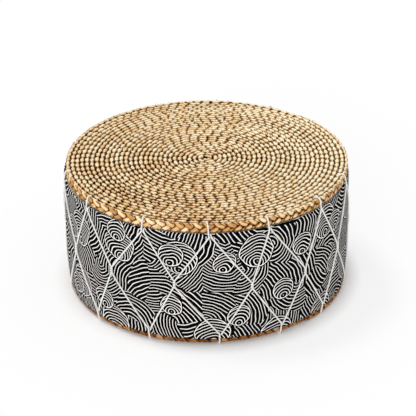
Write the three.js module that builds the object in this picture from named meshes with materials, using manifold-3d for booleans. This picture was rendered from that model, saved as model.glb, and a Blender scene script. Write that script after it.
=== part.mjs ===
// A drum-shaped floor stool. Two mats, each wound from one long straw plait standing on edge,
// close the ends of a padded cane frame. A cloth cover goes round the wall, and two cotton
// cords zigzag over it from mat to mat, crossing at mid-height, and hold the whole together.
// Millimetres, +Z up, with the floor at z = 0 and the front towards -Y.

import * as THREE from "three";
import { mergeVertices } from "three/addons/utils/BufferGeometryUtils.js";
import Module from "manifold-3d";

// Overall sizes. The padded wall bulges out past the rims of the two mats.
const stoolHeight = 231;
const matRadius = 247.5;
const wallBulge = 2.5;

// Clearances, the overrun of a cut, and the distance at which two points are one
const clearance = 0.3;
const rowGap = 0.6;
const lacingClearance = 0.6;
const overrun = 2;
const weldDistance = 0.001;

// The wound mats
const plaitWidth = 16;
const matLoops = 24;
const matHeartRadius = 5.6;
const plaitTailThickness = 2;
const baseRimLift = 4;
const coarseSteps = 12;
const fineSteps = 24;
const seatCoarseLoops = 9;
const baseCoarseLoops = 14;
const easingLoops = 6;
const tailAngle = 46;

// The cloth cover, the wadding behind it and the pad under the seat mat
const coverThickness = 1;
const hemOverlap = 8.5;
const wallDrawHeight = 8;
const waddingThickness = 25;
const padThickness = 18;
const padEdgeRadius = 5;

// The cane frame
const deckThickness = 12;
const postCount = 8;
const postDiameter = 22;
const tenonDiameter = 14;
const tenonLength = 9;
const hoopDiameter = 12;
const hoopNotchDepth = 4;
const hoopHeightShares = [0.14, 0.5, 0.86];

// The lacing: where each stitch goes through the mats, as angles in degrees from +X
const cordDiameter = 2.6;
const stitchReach = 9;
const strandGap = 0.6;
const seatSplitDrop = 6;
const baseSplitRise = 4;
const crossingLength = 16;
const seatStitchAngles = [
  -168.5, -143.3, -114.7, -89.5, -66, -39.5, -16.5, 10, 37.5, 61, 85.8, 112.5, 139, 164,
];
const baseStitchAngles = [
  -164, -138.5, -113, -85, -59.7, -37.2, -13, 12, 38, 63, 88, 114, 139, 167,
];

// How finely round forms are divided
const wallSides = 42;
const bodySides = 28;
const hoopStepsPerPost = 3;
const hoopSides = 6;
const postSides = 8;
const cordSides = 5;
const fullTurn = 2 * Math.PI;

// Radii that follow from the sizes above
const wallRadius = matRadius + wallBulge;
const cordRadius = cordDiameter / 2;
const strandSpacing = cordDiameter + strandGap;
const hemInnerRadius = (matRadius + clearance) / Math.cos(Math.PI / wallSides);
const wallDrawIn = wallRadius - (hemInnerRadius + coverThickness);
const waddingOuterRadius = wallRadius - coverThickness - clearance;
const waddingInnerRadius = waddingOuterRadius - waddingThickness;
const deckRadius = waddingInnerRadius - clearance;
const hoopRadius = deckRadius - hoopDiameter / 2;
const postRadius = hoopRadius - hoopDiameter / 2 + hoopNotchDepth - postDiameter / 2;
const stitchRadius = matRadius - stitchReach;
const cordSeatRadius = cordRadius + lacingClearance;

// The row of a mat: the last loop thins out to a tail, so that the rim stays round
const matPitch = (matRadius - matHeartRadius + rowGap / 2) / (matLoops - 1 / 2);
const plaitThickness = matPitch - rowGap;
const tailTurns = (plaitThickness - plaitTailThickness) / matPitch;
const matTurns = matLoops - 1 + tailTurns;

// Heights that follow from the sizes above, from the floor up
const baseRimTop = baseRimLift + plaitWidth;
const hemHeight = baseRimTop - hemOverlap;
const baseDeckBottom = plaitWidth + clearance;
const baseDeckTop = baseDeckBottom + deckThickness;
const seatMatBottom = stoolHeight - plaitWidth;
const wallTop = seatMatBottom - clearance;
const padBottom = wallTop - padThickness;
const seatDeckTop = padBottom - clearance;
const seatDeckBottom = seatDeckTop - deckThickness;
const postBottom = baseDeckTop + clearance;
const postTop = seatDeckBottom - clearance;
const strandWay = cordDiameter + 2 * clearance;
const waddingBottom = baseRimTop + strandWay;
const waddingTop = seatMatBottom - strandWay;
const crossingHeight = (wallTop + hemHeight) / 2;

// The outer rows of the base mat rise over one loop, and are up before the stitches reach them
const liftEndRadius = stitchRadius - cordSeatRadius - plaitThickness / 2;
const liftStartRadius = liftEndRadius - matPitch;
const liftInnerEdge = (liftStartRadius - plaitThickness / 2) * Math.cos(Math.PI / fineSteps);
const deckBevelRadius = liftInnerEdge - clearance;
const deckBevelHeight = (baseRimLift * (deckRadius - deckBevelRadius)) / matPitch;

// Sections of the plait, from its back to its face, as shares of half its thickness and of its
// width
const seatSectionShares = [
  [-1, 0],
  [1, 0],
  [1, 0.84],
  [0, 1],
  [-1, 0.84],
];
const baseSectionShares = [
  [-1, 0],
  [1, 0],
  [1, 1],
  [-1, 1],
];

const wasm = await Module();
wasm.setup();

// A three.js geometry as a solid that can be joined and cut
function solidOf(geometry) {
  const bare = geometry.clone();
  bare.deleteAttribute("normal");
  bare.deleteAttribute("uv");
  const merged = mergeVertices(bare, weldDistance);
  return new wasm.Manifold(
    new wasm.Mesh({
      numProp: 3,
      vertProperties: merged.getAttribute("position").array,
      triVerts: new Uint32Array(merged.getIndex().array),
    }),
  );
}

// A cut solid as a three.js geometry again
function geometryOf(solid) {
  const mesh = solid.getMesh();
  const geometry = new THREE.BufferGeometry();
  geometry.setAttribute("position", new THREE.BufferAttribute(mesh.vertProperties, 3));
  geometry.setIndex(new THREE.BufferAttribute(mesh.triVerts, 1));
  geometry.computeVertexNormals();
  return geometry;
}

// A geometry with each of the cutting geometries taken away
function cut(geometry, cutters) {
  let solid = solidOf(geometry);
  for (const cutter of cutters) {
    solid = solid.subtract(solidOf(cutter));
  }
  return geometryOf(solid);
}

// A profile of [radius, height] points turned about the Z axis
function turned(profile, sides) {
  const points = profile.map(([radius, height]) => new THREE.Vector2(radius, height));
  return new THREE.LatheGeometry(points, sides).rotateX(Math.PI / 2);
}

// A closed body through rings of points, with a flat lid on each end
function lofted(rings) {
  const sides = rings[0].length;
  const positions = rings.flat().flatMap((point) => point.toArray());
  const index = [];
  for (let ring = 0; ring + 1 < rings.length; ring += 1) {
    for (let side = 0; side < sides; side += 1) {
      const next = (side + 1) % sides;
      const a = ring * sides + side;
      const b = ring * sides + next;
      const c = a + sides;
      const d = b + sides;
      index.push(a, c, b, b, c, d);
    }
  }
  const last = (rings.length - 1) * sides;
  for (let side = 1; side + 1 < sides; side += 1) {
    index.push(0, side, side + 1);
    index.push(last, last + side + 1, last + side);
  }
  const geometry = new THREE.BufferGeometry();
  geometry.setAttribute("position", new THREE.Float32BufferAttribute(positions, 3));
  geometry.setIndex(index);
  return geometry;
}

// A path whose steps land on the points that were chosen for it
class Route extends THREE.Curve {
  constructor(points) {
    super();
    this.points = points;
  }

  getPointAt(share, target = new THREE.Vector3()) {
    return target.copy(this.points[Math.round(share * (this.points.length - 1))]);
  }

  getTangentAt(share, target = new THREE.Vector3()) {
    const last = this.points.length - 1;
    const here = Math.round(share * last);
    const point = this.points[here];
    const arriving = point.clone().sub(this.points[Math.max(here - 1, 0)]).normalize();
    const leaving = this.points[Math.min(here + 1, last)].clone().sub(point).normalize();
    return target.copy(arriving).add(leaving).normalize();
  }
}

// A round tube along a list of points
function tubeAlong(points, radius) {
  const section = new THREE.Shape();
  for (let side = 0; side < cordSides; side += 1) {
    const angle = (side / cordSides) * fullTurn;
    const x = radius * Math.cos(angle);
    const y = radius * Math.sin(angle);
    if (side === 0) {
      section.moveTo(x, y);
    } else {
      section.lineTo(x, y);
    }
  }
  return new THREE.ExtrudeGeometry(section, {
    steps: points.length - 1,
    extrudePath: new Route(points),
  });
}

// A point at an angle in degrees and a distance along the rim from it
function polarPoint(angle, along, radius, height) {
  const turn = THREE.MathUtils.degToRad(angle) + along / radius;
  return new THREE.Vector3(radius * Math.cos(turn), radius * Math.sin(turn), height);
}

// The outer radius of the cloth wall: straight, and drawn in a little at both ends
function wallRadiusAt(height) {
  const fromEdge = Math.min(wallTop - height, height - hemHeight);
  const share = THREE.MathUtils.clamp(1 - fromEdge / wallDrawHeight, 0, 1);
  return wallRadius - wallDrawIn * share * share;
}

// Centre radius and thickness of the plait after a number of turns from the heart
function plaitRowAt(turn) {
  const innerEdge = matHeartRadius + matPitch * turn - plaitThickness / 2;
  const outerEdge = Math.min(innerEdge + plaitThickness, matRadius);
  return { radius: (innerEdge + outerEdge) / 2, thickness: outerEdge - innerEdge };
}

// Where each ring of a mat comes, in turns from the heart. The small loops at the heart have
// coarse steps. After them every second step starts on the straight line between its
// neighbours and eases out to the round, so that no wide gap opens where the steps change.
function matRingPlaces(coarseLoops) {
  const places = [];
  for (let loop = 0; loop < matLoops; loop += 1) {
    const steps = loop < coarseLoops ? coarseSteps : fineSteps;
    for (let step = 0; step < steps; step += 1) {
      const turn = loop + step / steps;
      const eased = THREE.MathUtils.clamp((turn - coarseLoops) / easingLoops, 0, 1);
      const between = steps === fineSteps && step % 2 === 1;
      const inset = between ? THREE.MathUtils.lerp(Math.cos(Math.PI / coarseSteps), 1, eased) : 1;
      if (turn < matTurns) {
        places.push({ turn, inset });
      }
    }
  }
  places.push({ turn: matTurns, inset: 1 });
  return places;
}

// The rings of one long plait wound into a flat mat. Up is 1 for the seat mat, whose face looks
// up, and -1 for the base mat, which is the same mat turned over.
function matRings(up, sectionShares, coarseLoops, backAt) {
  return matRingPlaces(coarseLoops).map(({ turn, inset }) => {
    const row = plaitRowAt(turn);
    const angle = up * (tailAngle + (turn - matTurns) * 360);
    const back = backAt(row.radius);
    return sectionShares.map(([across, outward]) => {
      const radius = (row.radius + (across * row.thickness) / 2) * inset;
      return polarPoint(angle, 0, radius, back + up * outward * plaitWidth);
    });
  });
}

// The least distance between the sides of neighbouring rows, at the corners of the rings and
// half-way between them
function leastRowGap(rings) {
  const sidePoints = (corner) => {
    const points = rings.map((ring) => ring[corner]);
    const halves = points.slice(1).map((point, i) => point.clone().lerp(points[i], 1 / 2));
    return points.slice(1).flatMap((point, i) => [point, halves[i]]);
  };
  const outer = sidePoints(1);
  const inner = sidePoints(0);
  let least = Infinity;
  outer.forEach((point, i) => {
    for (let j = i + coarseSteps; j < inner.length; j += 1) {
      least = Math.min(least, point.distanceTo(inner[j]));
    }
  });
  return least;
}

// One stitch, from the strand that arrives along the wall to the strand that leaves: along the
// rim and the mat's face, through the mat, and out again between the mat and the wadding.
// Up is 1 on the seat mat and -1 on the base mat.
const stitchStep = { intoMat: 4, outOfMat: 5, behindMat: 6, outOfCover: 7 };

function stitchPoints(angle, up) {
  const face = up > 0 ? stoolHeight : baseRimLift;
  const back = up > 0 ? seatMatBottom : baseRimTop;
  const split = up > 0 ? seatMatBottom - seatSplitDrop : baseRimTop + baseSplitRise;
  const rim = (up > 0 ? matRadius : hemInnerRadius + coverThickness) + cordSeatRadius;
  const faceHeight = face + up * cordSeatRadius;
  const backHeight = back - up * (cordRadius + clearance);
  const arriving = -strandSpacing / 2;
  const leaving = strandSpacing / 2;
  const at = (along, radius, height) => polarPoint(angle, along, radius, height);
  return [
    at(arriving, wallRadiusAt(split) + cordSeatRadius, split),
    at(arriving, rim, face - up * cordRadius),
    at(arriving, rim - cordDiameter, faceHeight),
    at(arriving, stitchRadius + cordRadius, faceHeight),
    at(arriving, stitchRadius, face),
    at(leaving, stitchRadius, back),
    at(leaving, stitchRadius + cordRadius, backHeight),
    at(leaving, wallRadiusAt(backHeight) + cordSeatRadius, backHeight),
    at(leaving, wallRadiusAt(split) + cordSeatRadius, split),
  ];
}

// Points over the wall between two stitches, by way of the place where the cords cross
function diagonalPoints(from, to, crossing, passesOver) {
  const along = (start, end, share) => {
    const height = THREE.MathUtils.lerp(start.height, end.height, share);
    const angle = THREE.MathUtils.lerp(start.angle, end.angle, share);
    return { angle, height, radius: wallRadiusAt(height) + cordSeatRadius };
  };
  const humpShare = crossingLength / Math.abs(to.height - from.height);
  const shares = [1 / 3, 2 / 3];
  const rising = shares.map((share) => along(from, crossing, share));
  const falling = shares.map((share) => along(to, crossing, share)).reverse();
  const raised = (point) => ({ ...point, radius: point.radius + strandSpacing });
  const middle = passesOver
    ? [
        along(from, crossing, 1 - humpShare),
        raised(along(from, crossing, 1 - humpShare / 4)),
        raised(along(to, crossing, 1 - humpShare / 4)),
        along(to, crossing, 1 - humpShare),
      ]
    : [along(from, crossing, 1)];
  return [...rising, ...middle, ...falling].map(({ angle, radius, height }) =>
    polarPoint(angle, 0, radius, height),
  );
}

// One cord all the way round: seat stitch, down to the next base stitch, up again, and so on.
// It starts and ends under the seat mat, where its two ends are tied.
function cordPoints(firstStitch, passesOver) {
  const count = seatStitchAngles.length;
  const stitchAt = (place) => {
    const k = place % count;
    const up = (place - firstStitch) % 2 === 0 ? 1 : -1;
    const angle = (up > 0 ? seatStitchAngles : baseStitchAngles)[k] + (place >= count ? 360 : 0);
    return { angle, up };
  };
  const crossingAt = (place) => {
    const turnOf = (angles, p) => angles[p % count] + (p >= count ? 360 : 0);
    const angle =
      (turnOf(seatStitchAngles, place) +
        turnOf(seatStitchAngles, place + 1) +
        turnOf(baseStitchAngles, place) +
        turnOf(baseStitchAngles, place + 1)) /
      4;
    return { angle, height: crossingHeight };
  };
  const endOf = (point, angle) => {
    const turn = THREE.MathUtils.radToDeg(Math.atan2(point.y, point.x));
    return { angle: turn + 360 * Math.round((angle - turn) / 360), height: point.z };
  };
  const points = [];
  for (let place = firstStitch; place < firstStitch + count; place += 1) {
    const here = stitchAt(place);
    const next = stitchAt(place + 1);
    const stitch = stitchPoints(here.angle, here.up);
    const start = place === firstStitch ? stitch.slice(stitchStep.behindMat) : stitch;
    const from = endOf(stitch[stitch.length - 1], here.angle);
    const to = endOf(stitchPoints(next.angle, next.up)[0], next.angle);
    points.push(...start, ...diagonalPoints(from, to, crossingAt(place), passesOver));
  }
  const closing = stitchAt(firstStitch + count);
  points.push(...stitchPoints(closing.angle, closing.up).slice(0, stitchStep.outOfMat));
  return points;
}

// A tool for a stitch's way through a mat or through the cover. Its flats clear the round cord,
// and it runs on past both ends.
function stitchTool(inside, outside) {
  const radius = (cordRadius + clearance) / Math.cos(Math.PI / cordSides);
  const beyond = inside.clone().sub(outside).setLength(overrun);
  const start = inside.clone().add(beyond);
  const end = outside.clone().sub(beyond);
  return tubeAlong([start, end], radius);
}

function matTools(angles, up) {
  return angles.map((angle) => {
    const points = stitchPoints(angle, up);
    return stitchTool(points[stitchStep.intoMat], points[stitchStep.outOfMat]);
  });
}

function coverTools(angles, up) {
  return angles.map((angle) => {
    const points = stitchPoints(angle, up);
    return stitchTool(points[stitchStep.behindMat], points[stitchStep.outOfCover]);
  });
}

// Length of a route, and the least gap between the surfaces of two routes
function routeLength(points) {
  return points.slice(1).reduce((sum, point, i) => sum + point.distanceTo(points[i]), 0);
}

function leastCordGap(one, other) {
  const samples = (points) =>
    points.slice(1).flatMap((point, i) => {
      const count = Math.ceil(point.distanceTo(points[i]) / cordDiameter);
      return Array.from({ length: count }, (_, k) => points[i].clone().lerp(point, k / count));
    });
  const others = samples(other);
  let least = Infinity;
  for (const point of samples(one)) {
    for (const match of others) {
      least = Math.min(least, point.distanceTo(match));
    }
  }
  return least - cordDiameter;
}

const materials = {
  seatPlait: { color: 0xb08a52, roughness: 0.75, metalness: 0 },
  basePlait: { color: 0x8a5f33, roughness: 0.8, metalness: 0 },
  cloth: { color: 0x2a2a2c, roughness: 0.85, metalness: 0 },
  cottonCord: { color: 0xeeeae2, roughness: 0.9, metalness: 0 },
  wadding: { color: 0xdcd3c0, roughness: 1, metalness: 0 },
  coir: { color: 0x6e5136, roughness: 1, metalness: 0 },
  board: { color: 0xb58f60, roughness: 0.7, metalness: 0 },
  cane: { color: 0xc79f62, roughness: 0.55, metalness: 0 },
};

const stool = new THREE.Group();

function addPiece(name, geometry, look) {
  const mesh = new THREE.Mesh(geometry, new THREE.MeshStandardMaterial(materials[look]));
  mesh.name = name;
  stool.add(mesh);
  return mesh;
}

// Mats
function makeMats() {
  const seatRings = matRings(1, seatSectionShares, seatCoarseLoops, () => seatMatBottom);
  const liftAt = (radius) => {
    const share = (radius - liftStartRadius) / matPitch;
    return baseRimLift * THREE.MathUtils.clamp(share, 0, 1);
  };
  const backAt = (radius) => plaitWidth + liftAt(radius);
  const baseRings = matRings(-1, baseSectionShares, baseCoarseLoops, backAt);
  addPiece("seat_mat", cut(lofted(seatRings), matTools(seatStitchAngles, 1)), "seatPlait");
  addPiece("base_mat", cut(lofted(baseRings), matTools(baseStitchAngles, -1)), "basePlait");
  console.log("seat_mat least gap between rows", leastRowGap(seatRings).toFixed(2), "mm");
  console.log("base_mat least gap between rows", leastRowGap(baseRings).toFixed(2), "mm");
}

// Cover and wadding, which share the drawn-in outline of the wall
function makeWall() {
  const drawShares = [0, 1 / 2, 1];
  const drawnHeights = [
    ...drawShares.map((share) => hemHeight + share * wallDrawHeight),
    ...drawShares.map((share) => wallTop - (1 - share) * wallDrawHeight),
  ];
  const outlineOf = (heights, inset) =>
    heights.map((height) => [wallRadiusAt(height) - inset, height]);
  const outer = outlineOf(drawnHeights, 0);
  const inner = outlineOf(drawnHeights, coverThickness).reverse();
  const cover = turned([...outer, ...inner, outer[0]], wallSides);
  const tools = [...coverTools(seatStitchAngles, 1), ...coverTools(baseStitchAngles, -1)];
  addPiece("side_cover", cut(cover, tools), "cloth");

  const between = drawnHeights.filter((height) => height > waddingBottom && height < waddingTop);
  const waddingHeights = [waddingBottom, ...between, waddingTop];
  const front = outlineOf(waddingHeights, coverThickness + clearance);
  const back = waddingInnerRadius / Math.cos(Math.PI / wallSides);
  const profile = [...front, [back, waddingTop], [back, waddingBottom], front[0]];
  addPiece("side_wadding", turned(profile, wallSides), "wadding");
}

// Pad under the seat mat, with its edges rounded by a bevel
function makePad() {
  const profile = [
    [0, padBottom],
    [deckRadius - padEdgeRadius, padBottom],
    [deckRadius, padBottom + padEdgeRadius],
    [deckRadius, wallTop - padEdgeRadius],
    [deckRadius - padEdgeRadius, wallTop],
    [0, wallTop],
  ];
  addPiece("seat_pad", turned(profile, bodySides), "coir");
}

// A cane post with a tenon on each end, standing on the Z axis and turned a little larger
// where it serves as the tool that cuts its own mortises
function postBody(growth) {
  const tenonRadius = tenonDiameter / 2 + growth;
  return turned(
    [
      [0, postBottom - tenonLength - growth],
      [tenonRadius, postBottom - tenonLength - growth],
      [tenonRadius, postBottom],
      [postDiameter / 2, postBottom],
      [postDiameter / 2, postTop],
      [tenonRadius, postTop],
      [tenonRadius, postTop + tenonLength + growth],
      [0, postTop + tenonLength + growth],
    ],
    postSides,
  );
}

function postAngle(place) {
  return (place / postCount) * fullTurn;
}

// A bent cane hoop in the plane z = 0, with a corner of its ring at every post
function hoopBody(growth) {
  const thickness = hoopDiameter / 2 + growth;
  return new THREE.TorusGeometry(hoopRadius, thickness, hoopSides, postCount * hoopStepsPerPost);
}

// Decks, posts and hoops
function makeFrame() {
  const places = Array.from({ length: postCount }, (_, place) => place);
  const mortiseTools = places.map((place) =>
    postBody(clearance).translate(postRadius, 0, 0).rotateZ(postAngle(place)),
  );
  const bevelTop = baseDeckBottom + deckBevelHeight;
  const baseDeck = turned(
    [
      [0, baseDeckBottom],
      [deckBevelRadius, baseDeckBottom],
      [deckRadius, bevelTop],
      [deckRadius, baseDeckTop],
      [0, baseDeckTop],
    ],
    bodySides,
  );
  const seatDeck = turned(
    [
      [0, seatDeckBottom],
      [deckRadius, seatDeckBottom],
      [deckRadius, seatDeckTop],
      [0, seatDeckTop],
    ],
    bodySides,
  );
  addPiece("base_deck", cut(baseDeck, mortiseTools), "board");
  addPiece("seat_deck", cut(seatDeck, mortiseTools), "board");

  const hoopHeights = hoopHeightShares.map((share) =>
    THREE.MathUtils.lerp(postBottom, postTop, share),
  );
  const notchTools = hoopHeights.map((height) => hoopBody(clearance).translate(0, 0, height));
  const post = cut(postBody(0).translate(postRadius, 0, 0), notchTools);
  for (const place of places) {
    addPiece(`cane_post_${place + 1}`, post, "cane").rotation.z = postAngle(place);
  }
  const hoopNames = ["bottom_hoop", "middle_hoop", "top_hoop"];
  hoopNames.forEach((name, i) => {
    addPiece(name, hoopBody(0), "cane").position.z = hoopHeights[i];
  });
}

// The two cords, the second of which passes over the first wherever they cross
function makeLacing() {
  const first = cordPoints(0, false);
  const second = cordPoints(1, true);
  addPiece("first_lacing_cord", tubeAlong(first, cordRadius), "cottonCord");
  addPiece("second_lacing_cord", tubeAlong(second, cordRadius), "cottonCord");
  console.log("first cord length", routeLength(first).toFixed(0), "mm");
  console.log("second cord length", routeLength(second).toFixed(0), "mm");
  console.log("least gap between the cords", leastCordGap(first, second).toFixed(2), "mm");
}

makeMats();
makeWall();
makePad();
makeFrame();
makeLacing();

export default stool;
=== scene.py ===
"""A drum-shaped floor stool: two mats wound from a straw plait, a padded wall in printed cloth,
and two white cotton cords laced from mat to mat."""

import math

import bpy
import numpy as np
from mathutils import Euler, Matrix, Vector
from mathutils.kdtree import KDTree


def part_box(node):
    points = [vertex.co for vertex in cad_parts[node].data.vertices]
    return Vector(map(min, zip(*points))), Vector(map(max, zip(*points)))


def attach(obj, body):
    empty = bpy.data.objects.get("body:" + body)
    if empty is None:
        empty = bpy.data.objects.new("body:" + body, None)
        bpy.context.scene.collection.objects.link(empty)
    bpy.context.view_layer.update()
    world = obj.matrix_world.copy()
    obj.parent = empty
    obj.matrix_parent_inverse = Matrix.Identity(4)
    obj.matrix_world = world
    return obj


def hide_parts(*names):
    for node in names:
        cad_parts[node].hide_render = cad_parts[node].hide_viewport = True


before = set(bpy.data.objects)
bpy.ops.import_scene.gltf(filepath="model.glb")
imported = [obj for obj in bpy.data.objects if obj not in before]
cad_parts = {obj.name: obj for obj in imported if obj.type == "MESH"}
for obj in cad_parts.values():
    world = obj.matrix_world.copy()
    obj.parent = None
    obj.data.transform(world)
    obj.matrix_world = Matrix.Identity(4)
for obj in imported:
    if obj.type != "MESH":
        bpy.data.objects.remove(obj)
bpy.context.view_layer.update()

MM = 0.001
FULL_TURN = 2 * math.pi

# Heights that the frame gives
SEAT_BOTTOM, SEAT_TOP = (corner.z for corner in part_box("seat_mat"))
BASE_BOTTOM, BASE_TOP = (corner.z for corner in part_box("base_mat"))
HEM_HEIGHT, WALL_TOP = (corner.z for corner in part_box("side_cover"))
WADDING_BOTTOM, WADDING_TOP = (corner.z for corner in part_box("side_wadding"))
PAD_BOTTOM, PAD_TOP = (corner.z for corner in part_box("seat_pad"))
PLAIT_HEIGHT = SEAT_TOP - SEAT_BOTTOM
CROSSING_HEIGHT = (WALL_TOP + HEM_HEIGHT) / 2

# Radii
MAT_RADIUS = 247.5 * MM
WALL_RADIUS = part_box("side_cover")[1].x
STITCH_RADIUS = 238.5 * MM
PAD_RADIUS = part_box("seat_pad")[1].x
WALL_ROUND = FULL_TURN * WALL_RADIUS

# The plait: three flat strands, wound on edge into both mats
ROW_PITCH = 8.5 * MM
RIM_LIFT = 2.2 * MM
HEART_RADIUS = 2.8 * MM
BRAID_REPEAT = 50 * MM
STRANDS = 3
EDGE_WIDTH = 8.6 * MM
HIDDEN_FACE_WIDTH, RIM_FACE_WIDTH = 6.5 * MM, 9.8 * MM
HIDDEN_PINCH = 2.3 * MM
EDGE_THICKNESS, FACE_THICKNESS = 5.2 * MM, 3.1 * MM
STRAND_WEAVE = 1.7 * MM
EDGE_STRAIGHTNESS = 0.9
QUICK_WANDER, SLOW_WANDER = 0.8, 2.2
WIDTH_JITTER, DEPTH_JITTER = 0.09, 0.07
HEIGHT_JITTER, ACROSS_JITTER = 0.25 * MM, 0.2 * MM
ROW_WAVE, ROW_WAVES, ROW_WAVE_DRIFT = 0.5 * MM, 3, 0.7
TAIL_TURNS = 0.45
TAIL_ANGLE = 46
END_TAPER, END_SHARE = 4 * MM, 0.15
STEPS_PER_REPEAT = 20
SECTION_POINTS = 10
SECTION_FULLNESS = 0.75
STRAW_CLEARANCE = 0.1 * MM
PLAIT_MAP_ROWS = 64

# Each mat: its name, its bottom, which way its outer face looks (paler, partly from wear and partly as a
# painted highlight), the lift of its rim and its seed
MATS = (("seat", SEAT_BOTTOM, 1, 0, 100), ("base", BASE_BOTTOM, -1, RIM_LIFT, 300))
STRAND_SEEDS = 20

# Where the plait shows its rim, where painted shade darkens it (in its notches, between its rows and in
# the crevice inside the rim), and where its face is paler, partly from wear and partly as a painted
# highlight: from nothing to full, in turns or in distance
RIM_STARTS, RIM_FULL = 1.2, 1
RIM_ASIDE = (0.5 * MM, 2.5 * MM)
NOTCH_DIP, NOTCH_ASIDE, NOTCH_LEAST = (0.45 * MM, 1.6 * MM), (0.6 * MM, 1.8 * MM), 0.16
ROW_GAP_DEPTH, ROW_GAP_ASIDE, ROW_GAP_MOST = (0.1 * MM, 1.1 * MM), (2.3 * MM, 3.7 * MM), 0.6
CREVICE_DEPTH, CREVICE_ASIDE = (2 * MM, 4 * MM), (0.9 * MM, 2.3 * MM)
FACE_WEAR_AND_HIGHLIGHT_DEPTH = (0.2 * MM, 2 * MM)

# The straw's colours on a screen: pale, middle, deep and rust, and then three for the rim
SEAT_COLOURS = (
    (255, 241, 204), (238, 203, 148), (186, 136, 78), (206, 140, 78),
    (196, 144, 84), (236, 192, 132), (255, 233, 190),
)
BASE_COLOURS = (
    (222, 166, 98), (190, 132, 70), (124, 78, 38), (160, 98, 48),
    (110, 66, 30), (168, 112, 58), (208, 158, 100),
)
# Painted shade: the brown and the near black that darken the straw in its notches, gaps and crevices
SHADE_BROWN, SHADE_DARK = (0.38, 0.2, 0.075), (0.015, 0.005, 0.001)

# Painted light and shade: the mats are painted paler at the right, with lighter painted shade in their
# gaps, and painted darker at the front, with deeper painted shade in their gaps
RIGHT_PAINTED_LIGHT, FRONT_PAINTED_SHADE = 0.14, -0.06
RIGHT_GAP_SHADE, FRONT_GAP_SHADE = 0.72, 1.25

# The lacing
CORD_RADIUS = 1.55 * MM
CORD_SPACING = 3.4 * MM
CORD_SEAT = 1.7 * MM
CORD_BITE = 0.7 * MM
CORD_STEP = 0.85 * MM
CORD_SMOOTHING = 5
CORD_MAP_ROWS = 24
PLY_COUNT = 3
PLY_RADIUS = 0.82 * MM
PLY_PITCH = 7 * MM
PLY_SIDES = 6
SEAT_SPLIT_DROP = 6 * MM
BASE_SPLIT_RISE = 4 * MM
STITCH_CLEARANCE = 0.3 * MM
STITCH_DROP = 0.5 * MM
WALL_LINE_STEP = 4 * MM
TWIST_HEIGHT = 14 * MM
TWIST_HALF_TURNS = 3
TWIST_STEPS = 8
TWIST_REACH = 1.02 * CORD_RADIUS
TWIST_LIFT = 0.5 * MM

# Angles of the stitches in degrees from +X, how far in millimetres each seat stitch leans, and the
# degrees and height by which the front crossings lie off the middle between their stitches
SEAT_STITCHES = [
    -168.5, -143.3, -114.7, -89.5, -66, -39.5, -16.5, 10, 37.5, 61, 85.8, 112.5, 139, 164,
]
BASE_STITCHES = [
    -164, -138.5, -113, -85, -59.7, -37.2, -13, 12, 38, 63, 88, 114, 139, 167,
]
SEAT_LEANS = [0, 1.2, -0.5, 3.2, 2.2, -2, 1, -1.5, 2, 0, -2, 1.5, 0, -1]
CROSSING_SHIFTS = {1: (-2.3, 4 * MM), 2: (-2, 6 * MM), 3: (2.3, -2 * MM), 4: (1.7, -3 * MM)}

# The point of a stitch that lies under the mat: a cord starts there, and ends at the one before
UNDER_MAT = 7

# The cover: one strip of cloth, whose ends overlap in a seam at the back
CLOTH_THICKNESS = 0.9 * MM
CLOTH_CLEARANCE = 0.3 * MM
COVER_COLUMNS = 520
COVER_ROWS = 76
COVER_MAP_ROWS = 3
SEAM_ANGLE = 90
SEAM_OVERLAP = 9 * MM
SEAM_COLUMNS = 4
SEAM_RAMP = 5 * MM
SEAM_STEP = 1.3 * CLOTH_THICKNESS
DRAW_HEIGHT = 8 * MM
DRAW_IN = 0.6 * MM
HEM_MIDDLE = 12.8 * MM
HEM_TILT, HEM_TILT_ANGLE, HEM_WAVER = 2 * MM, 30, 0.6 * MM
HEM_FOLD, HEM_EXTRA = (7 * MM, 8.5 * MM), 0.8

# Puckers at the hem and at the top: their depth, number, drift and seed, and how far they reach
LOW_PUCKER, LOW_PUCKER_HEIGHT = (0.35 * MM, 190, 3, 8), 22 * MM
TOP_PUCKER, TOP_PUCKER_HEIGHT = (0.3 * MM, 160, 4, 9), 16 * MM

# How the cords and edges hold the cover: distances from a cord, and rows and columns at the edges
CORD_OFF_WALL, CORD_BELOW_HEM = 2 * MM, 6 * MM
NEAREST_POINTS = 3
PRESSED_WITHIN = (1.6 * MM, 5 * MM)
PUCKER_FREE = (1.5 * MM, 6 * MM)
HELD_WITHIN, SWOLLEN_BEYOND = 2.4 * MM, 14 * MM
HELD_ROWS, HELD_COLUMNS = 2, 4
HEM_HOLD = 12 * MM
PILLOW, CLOTH_SINK = 1.6 * MM, 0.3 * MM
CLOTH_STEPS = 16
CLOTH_SETTINGS = {
    "quality": 5,
    "mass": 0.01,
    "tension_stiffness": 6,
    "compression_stiffness": 6,
    "shear_stiffness": 3,
    "bending_stiffness": 0.1,
    "use_pressure": True,
    "uniform_pressure_force": 90,
}

# Texture maps: the bands of the cover, and the rows of long tubes
BAND_HEIGHT, BAND_MARGIN, BAND_FILL = 0.31, 0.02, 0.9
INNER_BAND, INNER_HEIGHT = 0.94, 0.04
EDGE_BAND = (0.985, 0.995)
STRIP_MARGIN, STRIP_FILL = 0.06, 0.88

# The print: patches of arcs, and over them two sizes of disc (spacing, radius and offset)
ARC_PATCH, ARC_OFFSET = 54 * MM, 3.1
ARC_REACH = 170 * MM
ARC_PITCHES, ARC_SHARE = (5.2 * MM, 7.6 * MM), 0.21
DISCS = ((124 * MM, 30 * MM, 7.7), (112 * MM, 20 * MM, 12.3))
DISC_SCATTER, DISC_FOOT = 0.5, -0.7
DISC_OUTLINE, DISC_COLLAR = 1.4 * MM, 2.2 * MM
RING_PITCH, RING_SHARE = 5.6 * MM, 0.25
STRIPE_SOFTNESS = 0.03
PRINT_WANDER = 16 * MM
THREAD_PITCH = 0.9 * MM

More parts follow.
